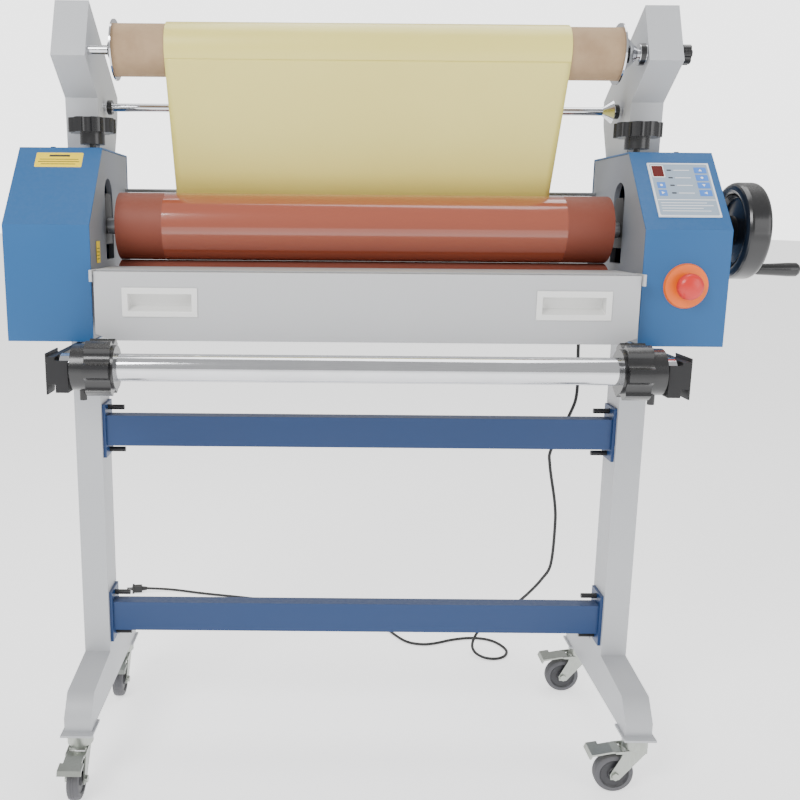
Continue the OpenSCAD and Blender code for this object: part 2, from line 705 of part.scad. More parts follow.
stand_end(-1);  // stand_end_left
stand_end(1);  // stand_end_right
cross_bar(upper_bar_z);  // cross_bar_upper
cross_bar(lower_bar_z);  // cross_bar_lower
fasteners();
side_plate(-1);  // side_plate_left
side_plate(1);  // side_plate_right
cover(-1);  // cover_left
cover(1);  // cover_right
tie_bars();
feed_table();
feed_panel();
panel_pulls();
control_panel();
key(0);  // key_faster
key(1);  // key_stop
key(2);  // key_slower
key(3);  // key_reverse
key(4);  // key_mode
key(5);  // key_run
estop_plate();
estop_button();
roll_arm(-1);  // roll_arm_left
roll_arm(1);  // roll_arm_right
supply_spindle();
supply_core();
film_roll();
film_web();
brake_knob();
liner_rod();
roller_shaft(-plate_x - 34, wheel_x + wheel_w - 16, upper_z);  // upper_roller_shaft
roller_rubber(upper_z);  // upper_roller_rubber
roller_shaft(-plate_x - 20, plate_x + 50, lower_z);  // lower_roller_shaft
roller_rubber(lower_z);  // lower_roller_rubber
bearing_blocks();
pressure_screw(-1);  // pressure_screw_left
pressure_screw(1);  // pressure_screw_right
pressure_springs();
handwheel();
crank_grip();
takeup_tube();
core_chuck(-1);  // core_chuck_left
core_chuck(1);  // core_chuck_right
takeup_cradles();
drive_motor();
cord_gland();
mains_cord();
mains_plug();
caster_fork(-1, -1, 0);  // caster_fork_fl
caster_fork(1, -1, -90);  // caster_fork_fr
caster_fork(-1, 1, 0);  // caster_fork_rl
caster_fork(1, 1, -90);  // caster_fork_rr
caster_wheel(-1, -1, 0);  // caster_wheel_fl
caster_wheel(1, -1, -90);  // caster_wheel_fr
caster_wheel(-1, 1, 0);  // caster_wheel_rl
caster_wheel(1, 1, -90);  // caster_wheel_rr
brake_pedal(-1, -1, 0);  // brake_pedal_fl
brake_pedal(1, -1, -90);  // brake_pedal_fr
brake_pedal(-1, 1, 0);  // brake_pedal_rl
brake_pedal(1, 1, -90);  // brake_pedal_rr
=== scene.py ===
# Looks of a cold roll laminator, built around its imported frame. Lengths are in metres.
import json
import math
import bpy
import bmesh
import numpy as np
from mathutils import Matrix, Vector


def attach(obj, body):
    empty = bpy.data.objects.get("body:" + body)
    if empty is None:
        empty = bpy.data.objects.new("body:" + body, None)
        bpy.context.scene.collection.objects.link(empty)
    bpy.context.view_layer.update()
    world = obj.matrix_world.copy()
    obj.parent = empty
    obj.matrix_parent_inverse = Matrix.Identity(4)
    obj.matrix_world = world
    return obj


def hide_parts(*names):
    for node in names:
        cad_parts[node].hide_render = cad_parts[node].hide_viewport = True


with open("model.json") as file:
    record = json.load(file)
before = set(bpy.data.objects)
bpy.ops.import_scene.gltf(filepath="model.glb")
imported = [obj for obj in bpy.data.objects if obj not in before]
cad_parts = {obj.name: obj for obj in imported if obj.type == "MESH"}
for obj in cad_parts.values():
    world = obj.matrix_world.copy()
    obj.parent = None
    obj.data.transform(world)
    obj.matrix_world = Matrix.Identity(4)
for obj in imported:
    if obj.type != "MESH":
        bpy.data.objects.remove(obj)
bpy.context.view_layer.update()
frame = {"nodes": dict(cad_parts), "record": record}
nodes = frame["nodes"]

# Places in the part's source are taken from the middle of the rollers, in mm
toOrigin = np.array([-88.5, 61.5, 0.0])

def place(points):  # millimetres about the rollers to metres in the row frame
    return (np.asarray(points, float) + toOrigin) / 1000.0

def srgb(r, g, b):  # display colour out of 255 to a linear colour
    c = np.array([r, g, b]) / 255.0
    c = np.where(c <= 0.04045, c / 12.92, ((c + 0.055) / 1.055) ** 2.4)
    return (float(c[0]), float(c[1]), float(c[2]), 1.0)

# Camera: a little above the rollers, looking slightly down
cameraSet = {"at": (-78.1, -1767.4, 1061.7), "down": 11.22, "roll": 0.484, "yaw": 0.0, "lens": 41.31, "shift": (0.101, 0.00225)}
cameraData = bpy.data.cameras.new("camera")
cameraData.lens = cameraSet["lens"]
cameraData.sensor_width = 36
cameraData.shift_x, cameraData.shift_y = cameraSet["shift"]
camera = bpy.data.objects.new("camera", cameraData)
bpy.context.scene.collection.objects.link(camera)
camera.matrix_world = (Matrix.Translation(Vector(place(cameraSet["at"])))
    @ Matrix.Rotation(math.radians(cameraSet["yaw"]), 4, "Z")
    @ Matrix.Rotation(math.radians(90 - cameraSet["down"]), 4, "X")
    @ Matrix.Rotation(math.radians(cameraSet["roll"]), 4, "Z"))
bpy.context.scene.camera = camera
print("camera ready")

# Mains lead: the same route as the solid one, on a smooth curve
cordSet = {"diameter": 0.007, "steps": 6, "route": [
    (485, 144, 880), (485, 160, 880), (485, 178, 875), (485, 192, 862), (483, 200, 840),
    (480, 200, 800), (482, 195, 700), (470, 196, 650), (436, 203, 570), (436, 208, 530),
    (455, 220, 440), (462, 232, 380), (464, 256, 280), (450, 274, 236), (428, 298, 192),
    (403, 328, 148), (378, 360, 108), (352, 384, 75), (327, 391, 46), (311, 373, 23), (313, 350, 12),
    (332, 333, 6), (360, 329, 4), (385, 342, 4), (397, 370, 4), (390, 400, 4), (372, 426, 4),
    (345, 440, 4), (310, 442, 4), (270, 432, 4), (220, 410, 4), (185, 405, 4), (150, 420, 4), (120, 465, 4), (85, 535, 4),
    (10, 605, 4), (-250, 680, 4), (-400, 715, 4), (-500, 740, 5), (-572, 734, 11)]}

def smoothRoute(points, steps):
    # each stretch is the cubic through its two ends whose slopes come from the points on either side
    p = np.asarray(points, float)
    q = np.vstack([p[:1], p, p[-1:]])
    a, b, c, d = q[:-3, None], q[1:-2, None], q[2:-1, None], q[3:, None]
    t = (np.arange(steps) / steps)[None, :, None]
    line = 0.5 * (2 * b + (c - a) * t + (2 * a - 5 * b + 4 * c - d) * t ** 2 + (3 * b - a - 3 * c + d) * t ** 3)
    return np.vstack([line.reshape(-1, 3), p[-1:]])

cordLine = place(smoothRoute(cordSet["route"], cordSet["steps"]))

def tubeMesh(name, line, radius, around):
    # a circle carried along the line, square to it, with its start turned as little as the line turns
    ahead = np.gradient(line, axis=0)
    ahead /= np.linalg.norm(ahead, axis=1)[:, None]
    sides = [np.cross(ahead[0], (0, 0, 1))]
    for t in ahead:  # one step for each ring
        v = sides[-1] - (sides[-1] @ t) * t
        sides.append(v / np.linalg.norm(v))
    side = np.array(sides[1:])
    a = np.linspace(0, 2 * np.pi, around, endpoint=False)
    other = np.cross(ahead, side)
    rings = line[:, None] + radius * (np.cos(a)[None, :, None] * side[:, None] + np.sin(a)[None, :, None] * other[:, None])
    n = len(line)
    i, j = np.meshgrid(np.arange(n - 1), np.arange(around), indexing="ij")
    k = (j + 1) % around
    quads = np.stack([i * around + j, i * around + k, (i + 1) * around + k, (i + 1) * around + j], -1).reshape(-1, 4)
    caps = [list(range(around))[::-1], list(range((n - 1) * around, n * around))]
    mesh = bpy.data.meshes.new(name)
    mesh.from_pydata(rings.reshape(-1, 3).tolist(), [], quads.tolist() + caps)
    mesh.update()
    b = bmesh.new()
    b.from_mesh(mesh)
    bmesh.ops.recalc_face_normals(b, faces=b.faces)
    b.to_mesh(mesh)
    b.free()
    mesh.shade_smooth()
    mesh.set_sharp_from_angle(angle=math.radians(50))
    return mesh

cordMesh = tubeMesh("mainsLead", cordLine, cordSet["diameter"] / 2, 14)
cordPiece = bpy.data.objects.new("mainsLead", cordMesh)
bpy.context.scene.collection.objects.link(cordPiece)
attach(cordPiece, "machine")
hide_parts("mains_cord")

# Shared effects: each group gives a colour, a roughness and a height that change over the surface
def newGroup(name, inputs, outputs):
    group = bpy.data.node_groups.new(name, "ShaderNodeTree")
    for label, kind, value in inputs:
        s = group.interface.new_socket(label, in_out="INPUT", socket_type=kind)
        s.default_value = value
    for label, kind in outputs:
        group.interface.new_socket(label, in_out="OUTPUT", socket_type=kind)
    return group, group.nodes.new("NodeGroupInput"), group.nodes.new("NodeGroupOutput")

def mathNode(tree, operation, a, b, clamp=False):
    n = tree.nodes.new("ShaderNodeMath")
    n.operation = operation
    n.use_clamp = clamp
    for socket, v in zip(n.inputs, (a, b)):
        if isinstance(v, (int, float)):
            socket.default_value = v
        else:
            tree.links.new(v, socket)
    return n.outputs[0]

def noiseNode(tree, vector, scale, detail=4.0, rough=0.55):
    n = tree.nodes.new("ShaderNodeTexNoise")
    n.inputs["Detail"].default_value = detail
    n.inputs["Roughness"].default_value = rough
    tree.links.new(vector, n.inputs["Vector"])
    if isinstance(scale, (int, float)):
        n.inputs["Scale"].default_value = scale
    else:
        tree.links.new(scale, n.inputs["Scale"])
    return n.outputs["Fac"]

def mixNode(tree, factor, a, b):
    n = tree.nodes.new("ShaderNodeMix")
    n.data_type = "RGBA"
    tree.links.new(factor, n.inputs[0])
    for socket, v in ((n.inputs[6], a), (n.inputs[7], b)):
        if isinstance(v, tuple):
            socket.default_value = v
        else:
            tree.links.new(v, socket)
    return n.outputs[2]

def makeSurfaceGroup():
    group, gin, gout = newGroup("surfaceFinish", [
        ("vector", "NodeSocketVector", (0, 0, 0)), ("base", "NodeSocketColor", (0.5, 0.5, 0.5, 1)),
        ("worn", "NodeSocketColor", (0.4, 0.4, 0.4, 1)), ("grainScale", "NodeSocketFloat", 900.0),
        ("patchScale", "NodeSocketFloat", 6.0), ("patchAmount", "NodeSocketFloat", 0.4),
        ("roughLow", "NodeSocketFloat", 0.35), ("roughHigh", "NodeSocketFloat", 0.5),
        ("dust", "NodeSocketFloat", 0.1)],
        [("colour", "NodeSocketColor"), ("roughness", "NodeSocketFloat"), ("height", "NodeSocketFloat")])
    g = gin.outputs
    grain = noiseNode(group, g["vector"], g["grainScale"], 3.0)
    patch = noiseNode(group, g["vector"], g["patchScale"], 5.0, 0.6)
    fleck = noiseNode(group, g["vector"], 140.0, 2.0)
    worn = mathNode(group, "MULTIPLY", mathNode(group, "SUBTRACT", patch, 0.42, True), g["patchAmount"], True)
    colour = mixNode(group, worn, g["base"], g["worn"])
    geo = group.nodes.new("ShaderNodeNewGeometry")
    split = group.nodes.new("ShaderNodeSeparateXYZ")
    group.links.new(geo.outputs["Normal"], split.inputs[0])
    upward = mathNode(group, "POWER", mathNode(group, "MAXIMUM", split.outputs["Z"], 0.0), 3.0)
    dust = mathNode(group, "MULTIPLY", mathNode(group, "MULTIPLY", upward, fleck), g["dust"], True)
    colour = mixNode(group, dust, colour, (0.55, 0.53, 0.49, 1))
    spread = mathNode(group, "SUBTRACT", g["roughHigh"], g["roughLow"])
    rough = mathNode(group, "ADD", g["roughLow"], mathNode(group, "MULTIPLY", spread, patch))
    rough = mathNode(group, "ADD", rough, mathNode(group, "MULTIPLY", dust, 0.4), True)
    group.links.new(colour, gout.inputs["colour"])
    group.links.new(rough, gout.inputs["roughness"])
    group.links.new(grain, gout.inputs["height"])
    return group

def makeTurnedGroup():  # fine rings and lines left by turning, drawn out along one direction
    group, gin, gout = newGroup("turnedLines", [
        ("vector", "NodeSocketVector", (0, 0, 0)), ("stretch", "NodeSocketVector", (1200, 20, 20)),
        ("base", "NodeSocketColor", (0.5, 0.5, 0.5, 1)), ("line", "NodeSocketColor", (0.4, 0.4, 0.4, 1)),
        ("roughLow", "NodeSocketFloat", 0.1), ("roughHigh", "NodeSocketFloat", 0.25)],
        [("colour", "NodeSocketColor"), ("roughness", "NodeSocketFloat"), ("height", "NodeSocketFloat")])
    g = gin.outputs
    scaled = group.nodes.new("ShaderNodeVectorMath")
    scaled.operation = "MULTIPLY"
    group.links.new(g["vector"], scaled.inputs[0])
    group.links.new(g["stretch"], scaled.inputs[1])
    lines = noiseNode(group, scaled.outputs[0], 1.0, 3.0)
    smear = noiseNode(group, g["vector"], 14.0, 4.0)
    colour = mixNode(group, mathNode(group, "MULTIPLY", lines, smear), g["base"], g["line"])
    spread = mathNode(group, "SUBTRACT", g["roughHigh"], g["roughLow"])
    rough = mathNode(group, "ADD", g["roughLow"], mathNode(group, "MULTIPLY", spread, smear))
    group.links.new(colour, gout.inputs["colour"])
    group.links.new(rough, gout.inputs["roughness"])
    group.links.new(lines, gout.inputs["height"])
    return group

surfaceGroup = makeSurfaceGroup()
turnedGroup = makeTurnedGroup()

def makeMaterial(name, look):
    # look holds the group's own values, and the shader's plain ones under "shader"
    material = bpy.data.materials.new(name)
    material.use_nodes = True
    tree = material.node_tree
    shader = tree.nodes["Principled BSDF"]
    coords = tree.nodes.new("ShaderNodeTexCoord")
    effect = tree.nodes.new("ShaderNodeGroup")
    effect.node_tree = turnedGroup if "line" in look else surfaceGroup
    tree.links.new(coords.outputs["Object"], effect.inputs["vector"])
    for key, value in look.items():
        if key in effect.inputs:
            effect.inputs[key].default_value = value
    for key, value in look.get("shader", {}).items():
        shader.inputs[key].default_value = value
    tree.links.new(effect.outputs["colour"], shader.inputs["Base Color"])
    tree.links.new(effect.outputs["roughness"], shader.inputs["Roughness"])
    bump = tree.nodes.new("ShaderNodeBump")
    bump.inputs["Strength"].default_value = look.get("bump", 0.15)
    bump.inputs["Distance"].default_value = look.get("depth", 0.0002)
    tree.links.new(effect.outputs["height"], bump.inputs["Height"])
    tree.links.new(bump.outputs["Normal"], shader.inputs["Normal"])
    return material

looks = {
    "blueCoat": {"base": srgb(20, 84, 138), "worn": srgb(28, 94, 150), "grainScale": 1100.0, "roughLow": 0.32,
        "roughHigh": 0.46, "dust": 0.12, "bump": 0.3},
    "navyCoat": {"base": srgb(9, 50, 98), "worn": srgb(16, 60, 110), "grainScale": 1100.0, "roughLow": 0.34,
        "roughHigh": 0.5, "dust": 0.16, "bump": 0.25},
    "lightCoat": {"base": srgb(178, 180, 183), "worn": srgb(164, 166, 170), "grainScale": 1000.0, "roughLow": 0.36,
        "roughHigh": 0.5, "dust": 0.1, "bump": 0.25},
    "leafCoat": {"base": srgb(188, 189, 191), "worn": srgb(178, 180, 183), "grainScale": 1000.0, "roughLow": 0.36,
        "roughHigh": 0.48, "dust": 0.05, "bump": 0.22},
    "plateCoat": {"base": srgb(120, 124, 132), "worn": srgb(102, 106, 114), "roughLow": 0.4, "roughHigh": 0.55, "bump": 0.2},
    "blackSteel": {"base": srgb(34, 34, 36), "worn": srgb(58, 56, 55), "roughLow": 0.35, "roughHigh": 0.6,
        "patchScale": 18.0, "bump": 0.25, "shader": {"Metallic": 0.35}},
    "whitePlastic": {"base": srgb(232, 232, 230), "worn": srgb(222, 221, 216), "grainScale": 500.0, "roughLow": 0.2,
        "roughHigh": 0.3, "dust": 0.05, "bump": 0.05},
    "orangePlastic": {"base": srgb(236, 108, 22), "worn": srgb(222, 96, 20), "roughLow": 0.28, "roughHigh": 0.4,
        "dust": 0.03, "bump": 0.08},
    "redPlastic": {"base": srgb(205, 40, 36), "worn": srgb(188, 34, 32), "roughLow": 0.22, "roughHigh": 0.34,
        "dust": 0.03, "bump": 0.06},
    "blackPlastic": {"base": srgb(22, 22, 24), "worn": srgb(34, 34, 36), "grainScale": 600.0, "roughLow": 0.18,
        "roughHigh": 0.34, "dust": 0.1, "bump": 0.1, "shader": {"Coat Weight": 0.3, "Coat Roughness": 0.15}},
    "cordJacket": {"base": srgb(20, 20, 21), "worn": srgb(34, 33, 32), "grainScale": 700.0, "roughLow": 0.4,
        "roughHigh": 0.55, "dust": 0.15, "bump": 0.1},
    "cardboard": {"base": srgb(166, 140, 110), "worn": srgb(132, 106, 78), "grainScale": 300.0, "patchScale": 24.0,
        "patchAmount": 1.4, "roughLow": 0.75, "roughHigh": 0.9, "dust": 0.0, "bump": 0.5, "depth": 0.0004},
    "linerFilm": {"base": srgb(226, 214, 118), "worn": srgb(204, 190, 90), "grainScale": 60.0, "patchScale": 3.0,
        "patchAmount": 0.7, "roughLow": 0.3, "roughHigh": 0.42, "dust": 0.0, "bump": 0.06,
        "shader": {"Coat Weight": 0.25, "Coat Roughness": 0.2}},
    "redRubber": {"base": srgb(126, 60, 42), "worn": srgb(104, 48, 34), "grainScale": 500.0, "patchScale": 12.0,
        "roughLow": 0.5, "roughHigh": 0.66, "dust": 0.1, "bump": 0.25},
    # film-covered middle of the upper roller: the rubber's red painted lighter as a painted sheen, under a real gloss
    # coat
    "filmSleevePaintedSheen": {"base": srgb(150, 74, 52), "worn": srgb(132, 60, 42), "grainScale": 40.0, "patchScale": 5.0,
        "roughLow": 0.12, "roughHigh": 0.24, "dust": 0.0, "bump": 0.04,
        "shader": {"Coat Weight": 1.0, "Coat Roughness": 0.05}},
    "tyreRubber": {"base": srgb(84, 84, 88), "worn": srgb(112, 108, 102), "grainScale": 500.0, "patchScale": 30.0,
        "roughLow": 0.55, "roughHigh": 0.75, "dust": 0.3, "bump": 0.3},
    "wheelHub": {"base": srgb(46, 46, 50), "worn": srgb(70, 70, 72), "grainScale": 500.0, "roughLow": 0.3,
        "roughHigh": 0.5, "dust": 0.2, "bump": 0.15},
    "overlayFilm": {"base": srgb(226, 229, 232), "worn": srgb(214, 218, 224), "grainScale": 1500.0, "roughLow": 0.4,
        "roughHigh": 0.5, "dust": 0.0, "bump": 0.12},
    "overlayFace": {"base": srgb(150, 166, 184), "worn": srgb(140, 156, 176), "grainScale": 1500.0, "roughLow": 0.38,
        "roughHigh": 0.48, "dust": 0.0, "bump": 0.12},
    "keyFilm": {"base": srgb(66, 128, 214), "worn": srgb(56, 114, 198), "grainScale": 1200.0, "roughLow": 0.3,
        "roughHigh": 0.4, "dust": 0.0, "bump": 0.1},
    "displayRed": {"base": srgb(96, 26, 22), "worn": srgb(70, 16, 14), "roughLow": 0.08, "roughHigh": 0.16,
        "dust": 0.0, "bump": 0.02},
    "inkDark": {"base": srgb(40, 42, 46), "worn": srgb(60, 60, 64), "roughLow": 0.4, "roughHigh": 0.5, "dust": 0.0},
    "inkWhite": {"base": srgb(238, 238, 236), "worn": srgb(226, 226, 224), "roughLow": 0.4, "roughHigh": 0.5, "dust": 0.0},
    "labelYellow": {"base": srgb(248, 216, 22), "worn": srgb(236, 200, 20), "grainScale": 900.0, "roughLow": 0.35,
        "roughHigh": 0.48, "dust": 0.02, "bump": 0.08},
    "chrome": {"base": srgb(222, 223, 226), "line": srgb(176, 177, 181), "stretch": (40.0, 900.0, 900.0), "roughLow": 0.05,
        "roughHigh": 0.16, "bump": 0.02, "shader": {"Metallic": 1.0}},
    "bareSteel": {"base": srgb(186, 187, 190), "line": srgb(128, 129, 133), "stretch": (1500.0, 30.0, 30.0),
        "roughLow": 0.24, "roughHigh": 0.42, "bump": 0.12, "shader": {"Metallic": 1.0}},
    "zincSteel": {"base": srgb(178, 182, 176), "line": srgb(130, 132, 124), "stretch": (200.0, 200.0, 60.0),
        "roughLow": 0.28, "roughHigh": 0.46, "bump": 0.1, "shader": {"Metallic": 1.0}},
}
materials = {name: makeMaterial(name, look) for name, look in looks.items()}
print("materials", len(materials))

slotLooks = {
    "light_coat": "lightCoat", "blue_coat": "blueCoat", "navy_coat": "navyCoat", "plate_coat": "plateCoat",
    "white_plastic": "whitePlastic", "overlay_film": "overlayFilm", "key_film": "keyFilm", "orange_plastic": "orangePlastic",
    "red_plastic": "redPlastic", "chrome_steel": "chrome", "core_board": "cardboard", "liner_film": "linerFilm",
    "bare_steel": "bareSteel", "red_rubber": "redRubber", "dark_steel": "blackSteel", "black_plastic": "blackPlastic",
    "cord_jacket": "cordJacket", "zinc_steel": "zincSteel", "grey_rubber": "tyreRubber"}
slotOf = {s["node"]: s["material_slot"] for s in frame["record"]["subparts"]}
bodyOf = {n: b for b, members in frame["record"]["behaviour"]["bodies"].items() for n in members}
for name, node in nodes.items():
    node.data.materials.clear()
    node.data.materials.append(materials[slotLooks[slotOf[name]]])
cordMesh.materials.append(materials["cordJacket"])

def link(name, mesh, look, body):
    piece = bpy.data.objects.new(name, mesh)
    bpy.context.scene.collection.objects.link(piece)
    mesh.materials.clear()
    mesh.materials.append(materials[look])
    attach(piece, body)
    return piece

# Folded and welded sheet: the same shape with its edges rounded off
foldedSet = {
    "cover_left": ("blueCoat", 1.6), "cover_right": ("blueCoat", 1.6), "stand_end_left": ("lightCoat", 2.2),
    "stand_end_right": ("lightCoat", 2.2), "cross_bar_upper": ("navyCoat", 1.6), "cross_bar_lower": ("navyCoat", 1.6),
    "roll_arm_left": ("lightCoat", 1.2), "roll_arm_right": ("lightCoat", 1.2), "feed_panel": ("leafCoat", 0.8),
    "panel_pulls": ("whitePlastic", 1.4), "side_plate_left": ("plateCoat", 0.6), "side_plate_right": ("plateCoat", 0.6),
    "takeup_cradles": ("blackSteel", 0.8)}
for name, (look, width) in foldedSet.items():
    mesh = nodes[name].data.copy()
    mesh.name = name + "Folded"
    b = bmesh.new()
    b.from_mesh(mesh)
    bmesh.ops.remove_doubles(b, verts=b.verts, dist=2e-5)
    bmesh.ops.dissolve_limit(b, angle_limit=math.radians(0.6), verts=b.verts, edges=b.edges)
    b.to_mesh(mesh)
    b.free()
    mesh.shade_smooth()
    mesh.set_sharp_from_angle(angle=math.radians(32))
    piece = link(name + "Folded", mesh, look, bodyOf[name])
    bevel = piece.modifiers.new("roundedEdges", "BEVEL")
    bevel.width = width / 1000
    bevel.segments = 2
    bevel.limit_method = "ANGLE"
    bevel.angle_limit = math.radians(50)
    bevel.use_clamp_overlap = True
    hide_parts(name)
print("folded pieces", len(foldedSet))

def gridMesh(name, points, closeAcross=False):
    # points is rows by columns by 3, and each cell between four neighbours becomes a face
    rows, cols = points.shape[:2]
    i, j = np.meshgrid(np.arange(rows - 1), np.arange(cols if closeAcross else cols - 1), indexing="ij")
    k = (j + 1) % cols
    quads = np.stack([i * cols + j, i * cols + k, (i + 1) * cols + k, (i + 1) * cols + j], -1).reshape(-1, 4)
    mesh = bpy.data.meshes.new(name)
    mesh.from_pydata(points.reshape(-1, 3).tolist(), [], quads.tolist())
    mesh.update()
    return mesh

def turnedMesh(name, profile, centre, axis="X", around=64):
    # profile is a closed list of (along, radius); each point is carried round the axis in a full circle
    p = np.asarray(profile, float)
    p = np.vstack([p, p[:1]])
    a = np.linspace(0, 2 * np.pi, around, endpoint=False)
    across, up = p[:, 1:2] * np.cos(a), p[:, 1:2] * np.sin(a)
    along = np.repeat(p[:, :1], around, 1)
    parts = (along, across, up) if axis == "X" else (across, along, up)
    mesh = gridMesh(name, place(np.stack(parts, -1) + np.asarray(centre, float)), True)
    b = bmesh.new()
    b.from_mesh(mesh)
    bmesh.ops.remove_doubles(b, verts=b.verts, dist=1e-6)
    bmesh.ops.recalc_face_normals(b, faces=b.faces)
    b.to_mesh(mesh)
    b.free()
    mesh.shade_smooth()
    mesh.set_sharp_from_angle(angle=math.radians(35))
    return mesh

# Film leaving the roll and passing behind the upper roller to the nip
filmSet = {"width": 696, "rollAxis": (-72, 1350), "rollRadius": 47, "rollerAxis": (-55, 1047.3), "rollerRadius": 60,
    "lift": 12, "nip": (-28, 987.15), "columns": 60, "rows": 90, "ripple": 0.25, "gauge": 0.4}

def filmPath(s):
    ry, rz = s["rollAxis"]
    ky, kz = s["rollerAxis"][0], s["rollerAxis"][1] + s["lift"]
    a, b = s["rollRadius"] + 1, s["rollerRadius"] + 3
    turn = math.atan2(ky - ry, rz - kz) + math.asin((a + b) / math.hypot(ky - ry, rz - kz))
    p = np.array([[ry - a * math.cos(turn), rz - a * math.sin(turn)], [ky + b * math.cos(turn), kz + b * math.sin(turn)],
        [ky + b, kz], [ky + b, kz - s["lift"] - 6], [ky + b - 4, kz - s["lift"] - 36],
        [ky + b - 16, kz - s["lift"] - 54], list(s["nip"])])
    far = np.r_[0, np.cumsum(np.linalg.norm(np.diff(p, axis=0), axis=1))]
    t = np.linspace(0, far[-1], s["rows"])
    return np.c_[np.interp(t, far, p[:, 0]), np.interp(t, far, p[:, 1])], far[-1]

path, filmLength = filmPath(filmSet)
across = np.linspace(-filmSet["width"] / 2, filmSet["width"] / 2, filmSet["columns"])
down = np.linspace(0, 1, filmSet["rows"])
# a tight sheet: faint lengthwise ripples, which die away at the roll and at the roller
wave = filmSet["ripple"] * np.sin(across / 31.0)[None, :] * np.sin(np.pi * np.clip(down / 0.72, 0, 1))[:, None]
grid = np.stack([np.repeat(across[None, :], len(down), 0), path[:, :1] + wave, np.repeat(path[:, 1:], len(across), 1)], -1)
filmMesh = gridMesh("filmSheet", place(grid))
filmMesh.shade_smooth()
filmPiece = link("filmSheet", filmMesh, "linerFilm", "machine")
gauge = filmPiece.modifiers.new("gauge", "SOLIDIFY")
gauge.thickness = filmSet["gauge"] / 1000
gauge.offset = 0
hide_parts("film_web")
print("film", round(filmLength), "mm long")

# Clear film wound once round the upper roller, which gives its middle a shine: a real gloss coat over the rubber's
# colour painted lighter, a painted sheen
sleeveSet = {"half": 360, "inner": 59.98, "outer": 60.1, "axis": (0, -55, 1047.3)}
h, r0, r1 = sleeveSet["half"], sleeveSet["inner"], sleeveSet["outer"]
link("filmSleevePaintedSheen", turnedMesh("filmSleevePaintedSheen", [(-h, r0), (-h, r1), (h, r1), (h, r0)], sleeveSet["axis"], around=160),
    "filmSleevePaintedSheen", "upper_roller")

# Collars and clamping rings on the spindle and the rewind rod
ringSet = [("spindle", "supply", (-72, 1350), 441.2, 10.6, 14.3, 10.3),
    ("spindleOuter", "supply", (-72, 1350), 474.5, 11, 18.4, 14.4),
    ("rod", "liner", (40, 1266), 472.2, 9.6, 13.4, 7.4)]
for name, body, (y, z), start, width, radius, bore in ringSet:
    for side, word in ((-1, "Left"), (1, "Right")):
        if name == "spindleOuter" and side < 0:
            continue
        a, b = sorted((side * start, side * (start + width)))
        c = 1.2
        profile = [(a, bore), (a, radius - c), (a + c, radius), (b - c, radius), (b, radius - c), (b, bore)]
        link(name + "Ring" + word, turnedMesh(name + "Ring" + word, profile, (0, y, z)), "blackPlastic", body)

# Caster wheels: a tyre with a tread crown over a moulded hub with a bearing cap
wheelSet = {"fl": (-523.5, -228, "X"), "rl": (-523.5, 152, "X"), "fr": (485.5, -190, "Y"), "rr": (485.5, 190, "Y")}
tyreProfile = [(-11, 28), (-11, 33.5), (-9.5, 36), (-7, 37.1), (-3, 37.5), (-2.4, 36.9), (-1.8, 37.5), (1.8, 37.5),
    (2.4, 36.9), (3, 37.5), (7, 37.1), (9.5, 36), (11, 33.5), (11, 28)]
hubProfile = [(-8, 4.1), (-12, 4.1), (-12, 11), (-11, 12), (-8.5, 13), (-8, 25), (-10.5, 27.2), (-10.8, 28.1),
    (10.8, 28.1), (10.5, 27.2), (8, 25), (8.5, 13), (11, 12), (12, 11), (12, 4.1), (8, 4.1)]
for corner, (x, y, axis) in wheelSet.items():
    centre = (x, y, 37.5)
    tyre = link("tyre_" + corner, turnedMesh("tyre_" + corner, tyreProfile, centre, axis, 96), "tyreRubber", "wheel_" + corner)
    link("hub_" + corner, turnedMesh("hub_" + corner, hubProfile, centre, axis, 72), "wheelHub", "wheel_" + corner)
    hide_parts("caster_wheel_" + corner)
print("rings and wheels ready")

# Patches on the sloped fronts: x across, u down the slope, and a height off its surface
slopeSet = {"topY": -94, "topZ": 1183, "run": 117, "rise": 133}

def slopePoints(x, u, off):
    length = math.hypot(slopeSet["run"], slopeSet["rise"])
    ry, rz = slopeSet["run"] / length, slopeSet["rise"] / length
    x, u = np.asarray(x, float), np.asarray(u, float)
    return place(np.stack([x, slopeSet["topY"] - u * ry - off * rz, slopeSet["topZ"] - u * rz + off * ry], -1))

def flatPatch(name, outline, place3d, look, body, thick=0.06):
    # the outline's corners go once round the patch, and a thin wall under it closes it
    points = place3d(outline)
    mesh = bpy.data.meshes.new(name)
    mesh.from_pydata(points.tolist(), [], [list(range(len(points)))])
    mesh.update()
    piece = link(name, mesh, look, body)
    wall = piece.modifiers.new("wall", "SOLIDIFY")
    wall.thickness = thick / 1000
    wall.offset = 0
    return piece

def slopePatch(name, x0, x1, u0, u1, off, look, body="machine", corner=0.0):
    c = corner
    ring = [(x0 + c, u1), (x1 - c, u1), (x1, u1 - c), (x1, u0 + c), (x1 - c, u0), (x0 + c, u0), (x0, u0 + c), (x0, u1 - c)]
    ring = ring if c else [(x0, u1), (x1, u1), (x1, u0), (x0, u0)]
    return flatPatch(name, ring, lambda o: slopePoints([p[0] for p in o], [p[1] for p in o], off), look, body)

top = 2.5
slopePatch("overlayFace", 493, 593, 31, 147, top + 0.05, "overlayFace", corner=2.0)
slopePatch("displayFrame", 494.5, 516.5, 33.5, 61.5, top + 0.12, "inkWhite", corner=1.0)
slopePatch("displayWindow", 496, 515, 35, 60, top + 0.2, "displayRed", corner=0.8)
slopePatch("overlayRule", 494, 592, 112, 113.6, top + 0.12, "inkWhite")
for i, u in enumerate((45, 62.5, 80, 97.5)):
    slopePatch("lamp%d" % i, 521, 529, u - 1.6, u + 1.6, top + 0.14, "inkDark", corner=0.6)
    slopePatch("lampRule%d" % i, 533, 560, u - 0.7, u + 0.7, top + 0.12, "inkWhite")
for i, (u, width) in enumerate(((119, 78), (125, 88), (131, 70), (137, 82))):
    slopePatch("noteRule%d" % i, 498, 498 + width, u, u + 1.3, top + 0.12, "inkWhite")
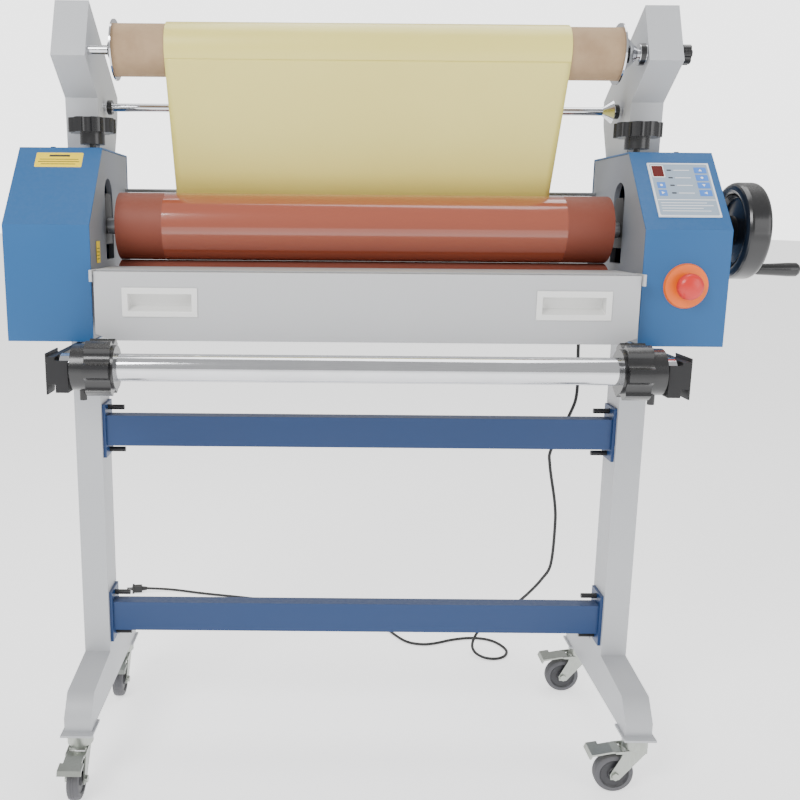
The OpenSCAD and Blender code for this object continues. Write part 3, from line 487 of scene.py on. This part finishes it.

# Arrow and dot marks on the keys
keySet = {"key_faster": (579, 45, "up"), "key_stop": (579, 62.5, "dot"), "key_slower": (579, 80, "down"),
    "key_reverse": (579, 97.5, "left"), "key_mode": (506, 80, "dot"), "key_run": (506, 97.5, "right")}
markShapes = {"up": [(-3, 2.4), (3, 2.4), (0, -3)], "down": [(-3, -2.4), (0, 3), (3, -2.4)],
    "left": [(2.4, 3), (2.4, -3), (-3, 0)], "right": [(-2.4, -3), (-2.4, 3), (3, 0)],
    "dot": [(2.4 * math.cos(-a), 2.4 * math.sin(-a)) for a in np.linspace(0, 2 * math.pi, 20, endpoint=False)]}
for key, (x, u, shape) in keySet.items():
    ring = [(x + a, u + b) for a, b in markShapes[shape]]
    flatPatch(key + "Mark", ring, lambda o: slopePoints([p[0] for p in o], [p[1] for p in o], top + 0.76), "inkWhite",
        key + "_pad")

# Yellow notices with plain rules in place of any wording
slopePatch("noticeLeft", -577, -495, 13, 47, 0.08, "labelYellow", corner=1.5)
slopePatch("noticeLeftHead", -554, -518, 18, 22.5, 0.14, "inkDark")
for i, (u, half) in enumerate(((28, 34), (33.5, 36), (39, 30))):
    slopePatch("noticeLeftRule%d" % i, -536 - half, -536 + half, u, u + 1.4, 0.14, "inkDark")

def platePatch(name, y0, y1, z0, z1, off, look):
    ring = [(y0, z0), (y1, z0), (y1, z1), (y0, z1)]
    return flatPatch(name, ring, lambda o: place([(-464.0 + off, p[0], p[1]) for p in o]), look, "machine")

platePatch("noticeInner", -165, -140, 985, 1022, 0.08, "labelYellow")
for i, z in enumerate((991, 997, 1003, 1009)):
    platePatch("noticeInnerRule%d" % i, -161, -144, z, z + 1.4, 0.16, "inkDark")
print("panel and notices ready")

# Floor, sky light and soft lamps
floorMesh = bpy.data.meshes.new("floor")
floorMesh.from_pydata([(-30, -30, -0.0006), (30, -30, -0.0006), (30, 60, -0.0006), (-30, 60, -0.0006)], [], [(0, 1, 2, 3)])
floor = bpy.data.objects.new("floor", floorMesh)
bpy.context.scene.collection.objects.link(floor)
floorMaterial = bpy.data.materials.new("paleFloor")
floorMaterial.use_nodes = True
floorShader = floorMaterial.node_tree.nodes["Principled BSDF"]
floorShader.inputs["Base Color"].default_value = (0.95, 0.95, 0.95, 1)
floorShader.inputs["Roughness"].default_value = 0.9
floorShader.inputs["Emission Color"].default_value = (1, 1, 1, 1)
floorShader.inputs["Emission Strength"].default_value = 1.1
floorMesh.materials.append(floorMaterial)

world = bpy.data.worlds.new("studio")
world.use_nodes = True
worldTree = world.node_tree
sky = worldTree.nodes["Background"]
sky.inputs["Color"].default_value = (1, 1, 1, 1)
rayKind = worldTree.nodes.new("ShaderNodeLightPath")
strength = worldTree.nodes.new("ShaderNodeMapRange")  # a bright backdrop seen directly, a softer one as light
strength.inputs["To Min"].default_value = 0.7
strength.inputs["To Max"].default_value = 3.2
worldTree.links.new(rayKind.outputs["Is Camera Ray"], strength.inputs["Value"])
worldTree.links.new(strength.outputs["Result"], sky.inputs["Strength"])
bpy.context.scene.world = world
lampSet = [("keyLamp", (-1.8, -2.6, 3.0), 1.4, 95), ("fillLamp", (2.4, -2.2, 1.6), 1.8, 26), ("topLamp", (0.2, 0.5, 3.2), 2.0, 45)]
for name, at, size, power in lampSet:
    data = bpy.data.lights.new(name, "AREA")
    data.size = size
    data.energy = power
    lamp = bpy.data.objects.new(name, data)
    bpy.context.scene.collection.objects.link(lamp)
    lamp.location = at
    lamp.rotation_mode = "QUATERNION"
    lamp.rotation_quaternion = (Vector((0, 0, 0.8)) - Vector(at)).to_track_quat("-Z", "Y")
print("studio ready")
